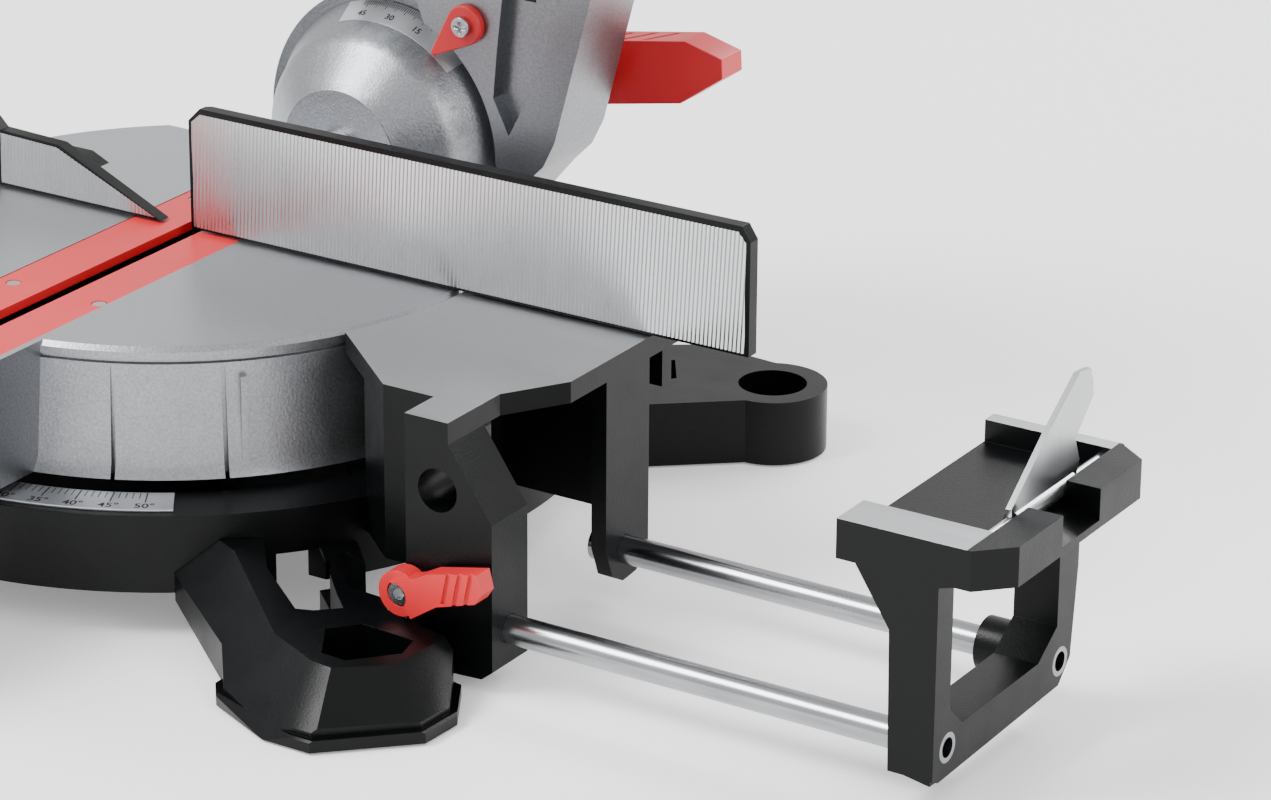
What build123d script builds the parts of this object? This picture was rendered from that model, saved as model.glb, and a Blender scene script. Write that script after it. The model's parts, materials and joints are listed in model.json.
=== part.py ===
"""Bench mitre saw with pull-out side supports, as an assembly of separate pieces.

Origin: turntable axis at bench level. +X to the operator's right, +Y to the back, +Z up.
The saw stands at zero mitre and zero bevel, with its head raised and both supports pulled out.
"""
from math import cos, radians, sin

from build123d import *
import os

# ---- Overall sizes, in millimetres ----
table_height = 110
turntable_r = 140
drum_r = 174
blade_d = 216
support_pull_out = 150  # travel of each side support, pulled right out in this pose

# ---- Clearances ----
face_gap = 0.4  # between faces that slide past each other
running_gap = 0.05  # radial, a shaft in its bore
screw_gap = 0.25  # radial, a screw in its hole

# ---- Base ----
drum_bottom = 19
drum_wall = 7
ledge_z = table_height - 58
ledge_t = 5
ledge_inner_r = 150
deck_z = 36
deck_t = 6
hub_r = 22
pivot_bolt_r = 6
wing_t = 9
wing_front = -100
wing_back = 28
wing_side = 217
wing_gap = 2  # between the table wings and the turntable's rim
rear_low_z = 33  # the drum is this low behind, where the bevel arm swings
web_t = 8
rear_web_y = -20
rear_web_bottom = table_height - 69
tower_x = 197
tower_front = -120
tower_depth = 25
plate_x = 226
plate_t = 7
port_r = 9  # round hole in each tower
leg_top = 30

# ---- Side supports ----
rod_r = 6
rod_bore_r = 4
rod_z = 24
front_rod_y = -107
rear_rod_y = -17.5
front_rod_inner_x = 190
rear_rod_inner_x = plate_x - 2.5
stop_screw_r = 5
stop_screw_t = 4
bracket_x = 387
frame_x = 411
frame_t = 19
lip_x = 441
lip_t = 14.5
deck_front = -118
deck_back = 3
bracket_deck_t = 16
pocket_depth = 9
pocket_front = -98
pocket_back = -4
rod_boss_r = 11
frame_bottom = 12
sheet_t = 2.5  # bent steel stop
stop_pin_r = 2
stop_pin_z = table_height - 4.5

# ---- Feet ----
bench_x = 198
bench_y = 158
bench_hole_r = 4.5
foot_clear = 1  # casting to bench, the rest is rubber
pad_r = 14
pad_t = 6
foot_flange_t = 6
foot_floor_z = 9
foot_height = 44
leg_pad_r = 24

# ---- Fence ----
fence_h = 55
fence_t = 6
fence_right_x = 4.2
fence_end_x = 279
fence_lift = 0.8
fence_foot_y = 26
fence_foot_t = 8
fence_screw_r = 3
fence_screw_y = 17
fence_screws_x = (168, 214)
fence_ribs_x = (150, 191, 236)

# ---- Turntable ----
top_t = 8
skirt_z = table_height - 54
floor_t = 7
wall_t = 5
arm_half = 32
arm_front = -288
arm_wall = 5
detent_y = -215
detent_z = skirt_z - 7.5
knob_z = table_height - 26
trunnion_bolt_z = table_height - 28
detent_pin_r = 2.5
detent_half = 13
kerf_left = -27
kerf_right = 29
kerf_back = 44
kerf_front = -266
kerf_plate_t = 4
slot_left = -12
slot_right = 23
skirt_lines = [25.5, 43.5]
skirt_rib = 46.6
rear_face = 106
rear_half = 72
pointer_deg = 18.7  # the mitre pointer stands left of the front arm
scale_reach = 50
scale_t = 1.2

# ---- Bevel pivot ----
trunnion_boss_r = 33
trunnion_disc_r = 52
trunnion_band_r = 61
trunnion_front = 113
trunnion_face = 131
trunnion_back = 154
shaft_r = 8
arm_start = trunnion_back + face_gap
arm_back = 182
flange_front = 142
arm_ring_r = 66
lever_y = 188
lever_hub_r = 19
lever_hub_t = 22

# ---- Chop pivot and head ----
chop_deg = 45
pivot_y = 165
pivot_h = 125
hub_head_r = 25
cheek_left = -26
cheek_right = 118
cheek_t = 20
web_top = 95
blade_kerf = 2.4
blade_depth = 26  # reach of the lowered blade below the table
blade_down_y = -62
teeth = 40
spindle_r = 8
guard_r = 121
guard_wall = 3
guard_left = -16
guard_right = 10.5
port_z = 90  # the dust port's height over the blade's centre, along the head
lower_guard_r = 115.5
lower_guard_t = 1.6
motor_y = 62
motor_z = 58
motor_r = 42
motor_x = 44
motor_len = 106
case_x = 24
handle_x = 14
handle_w = 32
handle_wall = 3.5

# ---- Worked out from the above ----
blade_r = blade_d / 2
lock_pin_y = pivot_y - 16
lock_pin_z = table_height + pivot_h + 6
pivot_z = table_height + pivot_h
down_z = table_height - blade_depth + blade_r
tip_c, tip_s = cos(radians(chop_deg)), sin(radians(chop_deg))
hub_y = pivot_y - blade_down_y  # chop pivot as seen from the blade centre
hub_z = pivot_z - down_z
blade_y = pivot_y - hub_y * tip_c - hub_z * tip_s
blade_z = pivot_z + hub_y * tip_s - hub_z * tip_c
support_side = bracket_x - support_pull_out  # inner edge of a pushed-in bracket

made = {}


def keep(name, piece):
    """Label a finished piece and note it for export."""
    piece.part.label = name
    made[name] = piece.part


def keep_pair(name, piece):
    """Keep a right-hand piece and its mirror image on the left."""
    with BuildPart() as twin:
        mirror(piece.part, about=Plane.YZ)
    keep(name + "_right", piece)
    keep(name + "_left", twin)


def front(y):
    """Plane seen from the front at depth y: sketch X, Z; extrude by a minus amount to go back."""
    return Plane((0, y, 0), x_dir=(1, 0, 0), z_dir=(0, -1, 0))


def side(x):
    """Plane seen from the side at x: sketch Y, Z; extrude goes to +X."""
    return Plane((x, 0, 0), x_dir=(0, 1, 0), z_dir=(1, 0, 0))


def head_side(x):
    """The same plane tipped up with the head, with the blade centre as its origin."""
    return Plane((x, blade_y, blade_z), x_dir=(0, tip_c, -tip_s), z_dir=(1, 0, 0))


def block(x, y, z, mode=Mode.ADD):
    """Box between pairs of limits."""
    middle = Vector(*[(a + b) / 2 for a, b in (x, y, z)])
    with Locations(middle):
        Box(x[1] - x[0], y[1] - y[0], z[1] - z[0], mode=mode)


def bar(plane, centre, radius, length, mode=Mode.ADD):
    """Round bar or hole: a circle on a plane, extruded."""
    with BuildSketch(plane) as outline:
        with Locations(centre):
            Circle(radius)
    extrude(outline.sketch, amount=length, mode=mode)


def slab(plane, points, length, mode=Mode.ADD, grow=0):
    """Polygon on a plane, made larger by a margin if need be, extruded."""
    with BuildSketch(plane) as outline:
        with BuildLine():
            Polyline(*points, close=True)
        make_face()
        if grow:
            offset(amount=grow, kind=Kind.INTERSECTION)
    extrude(outline.sketch, amount=length, mode=mode)


def ring(plane, centre, outer, inner, length, mode=Mode.ADD):
    """Tube or washer."""
    with BuildSketch(plane) as outline:
        with Locations(centre):
            Circle(outer)
            Circle(inner, mode=Mode.SUBTRACT)
    extrude(outline.sketch, amount=length, mode=mode)


# ---- Base casting: drum, table wings, towers and rear legs ----
with BuildPart() as base:
    ring(Plane.XY.offset(drum_bottom), (0, 0), drum_r, drum_r - drum_wall, ledge_z - drum_bottom)
    ring(Plane.XY.offset(ledge_z - ledge_t), (0, 0), drum_r, ledge_inner_r, ledge_t)
    bar(Plane.XY.offset(deck_z), (0, 0), drum_r - 1, deck_t)
    bar(Plane.XY.offset(drum_bottom), (0, 0), hub_r, skirt_z - face_gap - drum_bottom)
    with BuildSketch(Plane.XY.offset(rear_low_z)):
        Circle(drum_r + 5)
        Circle(ledge_inner_r - 5, mode=Mode.SUBTRACT)
        with Locations((0, wing_back - drum_r - 5)):
            Rectangle(3 * drum_r, 2 * (drum_r + 5), mode=Mode.SUBTRACT)
    extrude(amount=ledge_z, mode=Mode.SUBTRACT)
    wing_points = [
        (110, -47),
        (128, -62),
        (173, wing_front),
        (wing_side, wing_front),
        (wing_side, wing_front + 16),
        (plate_x + plate_t, wing_front + 42),
        (plate_x + plate_t, wing_back),
        (110, wing_back),
    ]
    slab(Plane.XY.offset(table_height - wing_t), wing_points, wing_t)
    slab(
        front(tower_front),
        [
            (tower_x, table_height),
            (wing_side, table_height),
            (wing_side, table_height - wing_t),
            (tower_x + 40, table_height - 38),
            (tower_x + 40, 10),
            (tower_x + 35, 6),
            (tower_x + 15, 5),
            (tower_x, 5),
        ],
        -tower_depth,
    )
    # the front web slants to leave room for the turntable's arm at its widest mitre
    slab(
        Plane.XY.offset(deck_z),
        [(128, -62), (173, wing_front), (tower_x + 1, wing_front), (tower_x + 1, wing_front + web_t),
         (176, wing_front + web_t), (134, -58)],
        table_height - deck_z,
    )
    block((160, plate_x + 1), (rear_web_y, rear_web_y + web_t), (rear_web_bottom, table_height))
    block((160, 168), (wing_front + 12, rear_web_y + 1), (rear_web_bottom, table_height - 1))
    block((150, plate_x), (wing_back - 7, wing_back), (table_height - 30, table_height))
    slab(
        side(plate_x),
        [
            (-32, table_height),
            (-32, 28),
            (-27, 15),
            (-19, 10.5),
            (-9, 11.5),
            (0, 19),
            (0, table_height),
        ],
        plate_t,
    )
    # rear leg, splayed out to its bench hole
    slab(
        Plane.XY.offset(foot_clear),
        [(88, 140), (138, 84), (bench_x + 20, bench_y - 8), (bench_x + 8, bench_y + 20), (150, 182)],
        leg_top - foot_clear,
    )
    bar(Plane.XY.offset(foot_clear), (bench_x, bench_y), leg_pad_r, leg_top - foot_clear)
    bar(Plane.XY.offset(14), (bench_x, bench_y), 15, leg_top, Mode.SUBTRACT)
    bar(Plane.XY, (bench_x, bench_y), bench_hole_r, leg_top, Mode.SUBTRACT)
    bar(Plane.XY, (bench_x, bench_y), pad_r + 0.2, pad_t, Mode.SUBTRACT)
    slab(Plane.XY.offset(8), [(112, 128), (136, 104), (160, 140), (148, 158)], leg_top, Mode.SUBTRACT)
    # everything that the turntable and the rods pass through
    bar(Plane.XY.offset(ledge_z), (0, 0), drum_r - 3, table_height - wing_t - ledge_z, Mode.SUBTRACT)
    bar(
        Plane.XY.offset(table_height - wing_t - 1), (0, 0), turntable_r + wing_gap, wing_t + 2,
        Mode.SUBTRACT,
    )
    for rod_y in (front_rod_y, rear_rod_y):
        bar(side(tower_x - 20), (rod_y, rod_z), rod_r + running_gap, 80, Mode.SUBTRACT)
        block((90, 185), (rod_y - 8, rod_y + 8), (0, rod_z + 9), Mode.SUBTRACT)
    bar(front(tower_front - 1), (tower_x + 15, table_height - 29), port_r, -tower_depth - 30, Mode.SUBTRACT)
    bar(front(tower_front), (tower_x + 2.5, 38), 3.3, -14, Mode.SUBTRACT)
    for screw_x in fence_screws_x:
        bar(
            Plane.XY.offset(table_height - wing_t - 1), (screw_x, fence_screw_y),
            fence_screw_r + screw_gap, wing_t + 2, Mode.SUBTRACT,
        )
    bar(Plane.XY.offset(drum_bottom - 1), (0, 0), pivot_bolt_r + screw_gap, 60, Mode.SUBTRACT)
    split(bisect_by=Plane.YZ)
    mirror(about=Plane.YZ)
keep("base_casting", base)

# ---- Front feet: bevelled frames bolted to the drum ----
foot_outline = [
    (88, -138),
    (142, -172),
    (153, -186),
    (186, -201),
    (208, -201),
    (240, -170),
    (241, -150),
    (228, -128),
    (192, -121),
    (142, -76),
]
foot_window = [(122, -112), (140, -100), (176, -133), (163, -147), (140, -134)]
foot_pocket = [(181, -152), (190, -140), (214, -140), (217, -152), (203, -170), (192, -170)]
# three points on each sloping face of the foot: along the rail, then round the shoe
foot_bevels = [
    ((94, -145, 27), (107, -137, 40), (192, -180, 25)),
    ((153, -182, 11), (186, -198, 8), (192, -180, 25)),
    ((186, -198, 8), (208, -198, 8), (192, -180, 25)),
    ((209, -198, 8), (237, -170, 8), (221, -162, 25)),
    ((237, -170, 8), (238, -150, 8), (221, -160, 25)),
]
with BuildPart() as foot:
    slab(Plane.XY.offset(foot_clear), foot_outline, foot_flange_t - foot_clear)
    block((80, 147), (-220, -60), (0, foot_flange_t + 2), Mode.SUBTRACT)
    slab(Plane.XY.offset(foot_clear), foot_outline, foot_height - foot_clear, grow=-3)
    for first, second, third in foot_bevels:
        slope = (Vector(*second) - Vector(*first)).cross(Vector(*third) - Vector(*first))
        if slope.Z < 0:
            slope = -slope
        bar(Plane(origin=first, z_dir=slope), (0, 0), 400, 200, Mode.SUBTRACT)
    # the top falls away from the drum to the shoe, and the rail's underside rises to the drum
    top_edge = [(80, foot_height - 1), (126, foot_height - 3), (168, 28), (260, 24), (260, 60), (80, 60)]
    slab(front(-60), top_edge, 160, Mode.SUBTRACT)
    slab(front(-60), [(80, 0), (146, 0), (146, foot_clear), (100, 16), (80, 18)], 160, Mode.SUBTRACT)
    slab(Plane.XY, foot_window, foot_height, Mode.SUBTRACT)
    slab(Plane.XY.offset(foot_floor_z), foot_pocket, foot_height, Mode.SUBTRACT)
    # tunnel for the front rod
    block((90, 195), (front_rod_y - 9, front_rod_y + 9), (rod_z - 9, rod_z + 9), Mode.SUBTRACT)
    bar(Plane.XY, (0, 0), drum_r + face_gap, foot_height + 1, Mode.SUBTRACT)
    bar(Plane.XY, (bench_x, -bench_y), bench_hole_r, foot_height, Mode.SUBTRACT)
    bar(Plane.XY, (bench_x, -bench_y), pad_r + 0.2, pad_t, Mode.SUBTRACT)
keep_pair("foot", foot)

with BuildPart() as foot_pads:
    for pad_y in (-bench_y, bench_y):
        ring(Plane.XY, (bench_x, pad_y), pad_r, bench_hole_r, pad_t)
        ring(Plane.XY, (-bench_x, pad_y), pad_r, bench_hole_r, pad_t)
keep("foot_pads", foot_pads)

# ---- Mitre scale: a ring sector on the drum's ledge ----
with BuildPart() as mitre_scale:
    with BuildSketch(Plane.XY.offset(ledge_z)):
        Circle(drum_r - 4)
        Circle(drum_r - 21.5, mode=Mode.SUBTRACT)
        sector = [(0, 0)]
        for step in range(-4, 5):
            turn = radians(-90 - pointer_deg + step * (scale_reach + 4) / 4)
            sector.append((2 * drum_r * cos(turn), 2 * drum_r * sin(turn)))
        with BuildLine():
            Polyline(*sector, close=True)
        make_face(mode=Mode.INTERSECT)
    extrude(amount=scale_t)
keep("mitre_scale_plate", mitre_scale)

# ---- Fence: two castings with an upright face and a bolted foot ----
fence_z = table_height + fence_lift
fence_top = table_height + fence_h
with BuildPart() as fence_right:
    slab(
        front(0),
        [
            (fence_right_x, fence_z),
            (fence_right_x, fence_top - 6),
            (fence_right_x + 6, fence_top),
            (fence_end_x - 4, fence_top),
            (fence_end_x, fence_top - 6),
            (fence_end_x, fence_z),
        ],
        -fence_t,
    )
    slab(Plane.XY, [(0, -0.5), (fence_right_x, 0), (14, fence_t + 1), (0, 9)], 300, Mode.SUBTRACT)
    block((147, 232), (fence_t - 1, fence_foot_y), (table_height, table_height + fence_foot_t))
    block((20, fence_end_x - 6), (fence_t - 1, fence_t + 6), (fence_z + 16, fence_z + 20))
    for rib_x in fence_ribs_x:
        slab(
            side(rib_x - 2.5),
            [(fence_t - 1, fence_z), (fence_foot_y - 2, fence_z), (fence_t + 3, fence_top - 8),
             (fence_t - 1, fence_top - 8)],
            5,
        )
    for screw_x in fence_screws_x:
        bar(
            Plane.XY.offset(table_height - 1), (screw_x, fence_screw_y),
            fence_screw_r + screw_gap, fence_foot_t + 2, Mode.SUBTRACT,
        )
with BuildPart() as fence_left:
    mirror(fence_right.part, about=Plane.YZ)
    # the inner end is kept low for a blade that leans over it
    slab(
        front(-1),
        [(-130, fence_top + 5), (-128, fence_top), (-98, fence_z + 25), (-66, fence_z + 24),
         (-12, fence_z), (0, fence_z - 5), (0, fence_top + 5)],
        -fence_foot_y - 2,
        Mode.SUBTRACT,
    )
keep("fence_right", fence_right)
keep("fence_left", fence_left)

with BuildPart() as fence_screws:
    foot_top = table_height + fence_foot_t
    for screw_x in fence_screws_x:
        for x in (screw_x, -screw_x):
            bar(Plane.XY.offset(table_height - wing_t - 4), (x, fence_screw_y), fence_screw_r,
                foot_top + wing_t + 4 - table_height)
            bar(Plane.XY.offset(foot_top), (x, fence_screw_y), 5, 6)
            with BuildSketch(Plane.XY.offset(foot_top + 3)):
                with Locations((x, fence_screw_y)):
                    RegularPolygon(2.9, 6)
            extrude(amount=4, mode=Mode.SUBTRACT)
keep("fence_screws", fence_screws)

# ---- Turntable: a hollow casting with the kerf trough and the front arm ----
with BuildPart() as turntable:
    with BuildSketch(side(0)):
        with BuildLine():
            Polyline(
                (0, table_height),
                (turntable_r - 2, table_height),
                (turntable_r, table_height - 2),
                (turntable_r, table_height - 5),
                (turntable_r - 1.5, table_height - 5.5),
                (turntable_r - 1.5, table_height - 6.5),
                (turntable_r, table_height - 7),
                (turntable_r + 4, skirt_z + 6),
                (turntable_r + 7, skirt_z),
                (0, skirt_z),
                close=True,
            )
        make_face()
    revolve(axis=Axis.Z)
    block((-arm_half, arm_half), (arm_front, -110), (skirt_z, table_height))
    slab(side(-arm_half - 1), [(arm_front - 1, skirt_z - 1), (arm_front - 1, knob_z), (-200, skirt_z - 1)],
         2 * arm_half + 2, Mode.SUBTRACT)
    # ears for the detent lever
    for x in (detent_half + 0.6, -detent_half - 5.6):
        block((x, x + 5), (detent_y - 7, detent_y + 7), (detent_z - 6, detent_z + 16))
    bar(side(-arm_half), (detent_y, detent_z), detent_pin_r + running_gap, 2 * arm_half, Mode.SUBTRACT)
    # hollow inside, with a floor to turn on
    bar(Plane.XY.offset(skirt_z + floor_t), (0, 0), turntable_r - wall_t,
        table_height - top_t - skirt_z - floor_t, Mode.SUBTRACT)
    with BuildSketch(side(-arm_half + arm_wall)):
        with BuildLine():
            Polyline(
                (-100, skirt_z + floor_t),
                (-197, skirt_z + floor_t),
                (arm_front + 12, knob_z + 6),
                (arm_front + 12, table_height - top_t),
                (-100, table_height - top_t),
                close=True,
            )
        make_face()
    extrude(amount=2 * (arm_half - arm_wall), mode=Mode.SUBTRACT)
    # flat back that carries the trunnion
    block((-90, 90), (rear_face, 160), (skirt_z - 1, table_height + 1), Mode.SUBTRACT)
    block((-88, 88), (rear_face - wall_t - 2, rear_face), (skirt_z, table_height - 1))
    block((kerf_left, kerf_right), (kerf_front, kerf_back),
          (table_height - kerf_plate_t, table_height + 1), Mode.SUBTRACT)
    block((slot_left, slot_right), (kerf_front + 8, kerf_back - 6), (table_height - 20, table_height),
          Mode.SUBTRACT)
    bar(Plane.XY.offset(skirt_z - 1), (0, 0), pivot_bolt_r + running_gap, 30, Mode.SUBTRACT)
    bar(front(arm_front - 1), (0, knob_z), 5 + running_gap, -60, Mode.SUBTRACT)
    # screw holes for the kerf plates
    for plate_y in (kerf_front + 12, -90, kerf_back - 10):
        for x in (kerf_left + 8, kerf_right - 3.5):
            bar(Plane.XY.offset(table_height - top_t - 1), (x, plate_y), 1.5 + screw_gap, 10, Mode.SUBTRACT)
    for x in (-30, 30):
        bar(front(rear_face - wall_t - 3), (x, trunnion_bolt_z), 4 + screw_gap, -20, Mode.SUBTRACT)
    # moulding lines and a rib down the skirt, alike on both sides
    for turn in skirt_lines + [-turn for turn in skirt_lines]:
        line_plane = Plane(Location((0, 0, skirt_z - 1), (0, 0, turn - 90)))
        slab(line_plane, [(turntable_r - 0.4, -0.9), (turntable_r + 9, -0.9), (turntable_r + 9, 0.9),
                          (turntable_r - 0.4, 0.9)], table_height - 7 - skirt_z, Mode.SUBTRACT)
    for turn in (skirt_rib, -skirt_rib):
        line_plane = Plane(Location((0, 0, skirt_z + 1), (0, 0, turn - 90)))
        slab(line_plane, [(turntable_r - 4, -1.3), (turntable_r + 4.4, -1.3), (turntable_r + 4.4, 1.3),
                          (turntable_r - 4, 1.3)], table_height - 13 - skirt_z)
keep("turntable", turntable)

with BuildPart() as kerf_plates:
    for limits in ((kerf_left + 0.3, -3), (8, kerf_right - 0.3)):
        block(limits, (kerf_front + 0.3, kerf_back - 0.3),
              (table_height - kerf_plate_t, table_height - 0.2))
    for plate_y in (kerf_front + 12, -90, kerf_back - 10):
        for x in (kerf_left + 8, kerf_right - 3.5):
            bar(Plane.XY.offset(table_height - 6), (x, plate_y), 1.5 + screw_gap, 8, Mode.SUBTRACT)
            bar(Plane.XY.offset(table_height - 2), (x, plate_y), 3 + screw_gap, 4, Mode.SUBTRACT)
keep("kerf_plates", kerf_plates)

with BuildPart() as kerf_screws:
    for plate_y in (kerf_front + 12, -90, kerf_back - 10):
        for x in (kerf_left + 8, kerf_right - 3.5):
            bar(Plane.XY.offset(table_height - top_t - 3), (x, plate_y), 1.5, top_t + 1)
            bar(Plane.XY.offset(table_height - 2), (x, plate_y), 3, 1.6)
keep("kerf_screws", kerf_screws)

with BuildPart() as pivot_bolt:
    bar(Plane.XY.offset(drum_bottom - 8), (0, 0), pivot_bolt_r, skirt_z + floor_t - drum_bottom + 8)
    bar(Plane.XY.offset(skirt_z + floor_t), (0, 0), 11, 6)
    ring(Plane.XY.offset(drum_bottom - 6), (0, 0), 10, pivot_bolt_r - 0.5, 6)
keep("turntable_pivot_bolt", pivot_bolt)

with BuildPart() as mitre_pointer:
    turn = -90 - pointer_deg
    pointer_plane = Plane(Location((0, 0, ledge_z + 2), (0, 0, turn)))
    slab(pointer_plane, [(turntable_r, -7), (drum_r - 18, -7), (drum_r - 9, -0.6), (drum_r - 9, 0.6),
                         (drum_r - 18, 7), (turntable_r, 7)], skirt_z - ledge_z - 2)
keep("mitre_pointer", mitre_pointer)

# ---- Bevel trunnion: stepped round boss on the turntable's back ----
with BuildPart() as trunnion:
    with BuildSketch(Plane.YZ.offset(0)) as trunnion_profile:
        with BuildLine():
            Polyline(
                (trunnion_front, table_height),
                (trunnion_front, table_height + trunnion_boss_r - 3),
                (trunnion_front + 3, table_height + trunnion_boss_r),
                (trunnion_face - 3, table_height + trunnion_disc_r - 5),
                (trunnion_face + 1, table_height + trunnion_disc_r - 1.5),
                (trunnion_face + 8, table_height + trunnion_disc_r + 1.5),
                (trunnion_back, table_height + trunnion_band_r),
                (trunnion_back, table_height),
                close=True,
            )
        make_face()
    revolve(axis=Axis((0, 0, table_height), (0, 1, 0)))
    block((-42, 42), (rear_face, trunnion_back - 2), (table_height - 47, table_height - 6))
    bar(front(rear_face - 1), (0, table_height), shaft_r + 4.3, rear_face - 1 - trunnion_front, Mode.SUBTRACT)
    bar(front(rear_face - 1), (0, table_height), shaft_r + running_gap, -60, Mode.SUBTRACT)
    for x in (-30, 30):
        bar(front(rear_face - 1), (x, trunnion_bolt_z), 4 + screw_gap, -26, Mode.SUBTRACT)
keep("bevel_trunnion", trunnion)

with BuildPart() as trunnion_bolts:
    for x in (-30, 30):
        bar(front(rear_face - wall_t - 2), (x, trunnion_bolt_z), 4, -26)
        bar(front(rear_face - wall_t - 10), (x, trunnion_bolt_z), 6.5, -8)
keep("trunnion_bolts", trunnion_bolts)

with BuildPart() as bevel_shaft:
    bar(front(trunnion_front - 4), (0, table_height), shaft_r, trunnion_front - lever_y - lever_hub_t - 8)
    bar(front(trunnion_front - 4), (0, table_height), shaft_r + 4, -4)
    with BuildSketch(front(lever_y + lever_hub_t)):
        with Locations((0, table_height)):
            RegularPolygon(13, 6)
            Circle(shaft_r + running_gap, mode=Mode.SUBTRACT)
    extrude(amount=-7)
keep("bevel_shaft", bevel_shaft)

# ---- Bevel arm: socket behind the trunnion, shoulder on its right, fork on top ----
arm_outline = [
    (-30, 56),
    (cheek_left, 90),
    (cheek_left, 140),
    (-16, pivot_h + 28),
    (cheek_right - 10, pivot_h + 28),
    (cheek_right, 140),
    (cheek_right, 100),
    (113, 82),
    (100, 35),
    (95, 15),
    (89, 3),
    (80, -6),
    (56, -34),
    (0, -40),
    (-50, 0),
]
with BuildPart() as bevel_arm:
    arm_face = Plane((0, flange_front, table_height), x_dir=(1, 0, 0), z_dir=(0, -1, 0))
    with BuildSketch(arm_face):
        Circle(arm_ring_r)
        with BuildLine():
            Polyline(*arm_outline, close=True)
        make_face()
    extrude(amount=flange_front - arm_back)
    # the band stays open to the left, above and below; the shoulder stands forward on the right
    with BuildSketch(arm_face):
        Circle(trunnion_band_r + 3)
        with BuildLine():
            Polyline((20, 74), (34, 40), (60, 10), (80, -40), (-140, -90), (-140, 74), close=True)
        make_face()
    extrude(amount=flange_front - arm_start, mode=Mode.SUBTRACT)
    # pocket in the shoulder, open to the front
    slab(
        Plane((0, flange_front, table_height), x_dir=(1, 0, 0), z_dir=(0, -1, 0)),
        [(71, 14), (63, 30), (65, 52), (69, 86), (101, 86), (88, 46)],
        -7,
        Mode.SUBTRACT,
    )
    # fork for the chop pivot
    block((cheek_left + cheek_t, cheek_right - cheek_t - 6), (flange_front - 1, arm_back + 1),
          (table_height + web_top, table_height + 200), Mode.SUBTRACT)
    bar(front(arm_start - 1), (0, table_height), shaft_r + running_gap, -60, Mode.SUBTRACT)
    bar(side(cheek_left - 1), (pivot_y, pivot_z), shaft_r + running_gap, 160, Mode.SUBTRACT)
    bar(Plane.XY.offset(table_height + web_top - 20), (78, 150), 3 + screw_gap, 30, Mode.SUBTRACT)
    bar(side(cheek_left - 1), (lock_pin_y, lock_pin_z), 3 + running_gap, cheek_t + 2, Mode.SUBTRACT)
    bar(side(cheek_left - 1), (lock_pin_y, lock_pin_z), 4 + running_gap, 5, Mode.SUBTRACT)
keep("bevel_arm", bevel_arm)

with BuildPart() as bevel_pointer:
    with BuildSketch(front(flange_front - 4)):
        with Locations((50, table_height + 62)):
            Circle(9)
        with Locations((34, table_height + 47)):
            Circle(1.5)
        make_hull()
        with Locations((50, table_height + 62)):
            Circle(2 + screw_gap, mode=Mode.SUBTRACT)
    extrude(amount=-4)
keep("bevel_pointer", bevel_pointer)

with BuildPart() as pointer_screw:
    bar(front(flange_front - 4), (50, table_height + 62), 2, -4)
    bar(front(flange_front - 7), (50, table_height + 62), 4.5, -3)
    for wide, high in ((5.4, 1.1), (1.1, 5.4)):
        with BuildSketch(front(flange_front - 7)):
            with Locations((50, table_height + 62)):
                Rectangle(wide, high)
        extrude(amount=-1.6, mode=Mode.SUBTRACT)
keep("pointer_screw", pointer_screw)

with BuildPart() as bevel_lever:
    lever_plane = front(lever_y)
    bar(lever_plane, (0, table_height), lever_hub_r, -lever_hub_t)
    slab(
        front(lever_y + 3),
        [(-6, 119), (67, 144), (76, 156), (131, 165), (150, 160), (150.5, 151), (129, 136), (76, 126),
         (60, 124), (10, 96)],
        -lever_hub_t + 5,
    )
    bar(lever_plane, (0, table_height), shaft_r + running_gap, -lever_hub_t, Mode.SUBTRACT)
    # three slanting finger grooves in the paddle's top
    paddle_top = Plane((76, lever_y + 3, 156), x_dir=(55, 0, 9), z_dir=(-9, 0, 55))
    for start in (8, 20, 32):
        slab(paddle_top.offset(-1.6), [(start, 2.5), (start + 3, 2.5), (start + 13, 14), (start + 10, 14)],
             6, Mode.SUBTRACT)
keep("bevel_lock_lever", bevel_lever)

# ---- Chop pivot: pin, return spring, depth stop and lock pin ----
hub_right = cheek_right - cheek_t - 8
spring_left = hub_right - 20
with BuildPart() as pivot_pin:
    bar(side(cheek_left - 4), (pivot_y, pivot_z), shaft_r, cheek_right - cheek_left + 8)
    bar(side(cheek_left - 6), (pivot_y, pivot_z), shaft_r + 3, 6)
    bar(side(cheek_right), (pivot_y, pivot_z), shaft_r + 3, 6)
keep("chop_pivot_pin", pivot_pin)

with BuildPart() as return_spring:
    ring(side(spring_left + 1), (pivot_y, pivot_z), 14, shaft_r + 1.5, hub_right + 1 - spring_left)
keep("return_spring", return_spring)

with BuildPart() as depth_stop:
    bar(Plane.XY.offset(table_height + web_top - 18), (78, 150), 3, 20)
    with BuildSketch(Plane.XY.offset(table_height + web_top)):
        with Locations((78, 150)):
            RegularPolygon(5.5, 6)
    extrude(amount=4)
keep("depth_stop_bolt", depth_stop)

with BuildPart() as lock_pin:
    bar(side(cheek_left + 2), (lock_pin_y, lock_pin_z), 3, cheek_t - 1.9)
    bar(side(cheek_left - 13), (lock_pin_y, lock_pin_z), 5.5, 12)
    bar(side(cheek_left - 1), (lock_pin_y, lock_pin_z), 4, 4)
keep("head_lock_pin", lock_pin)

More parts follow.
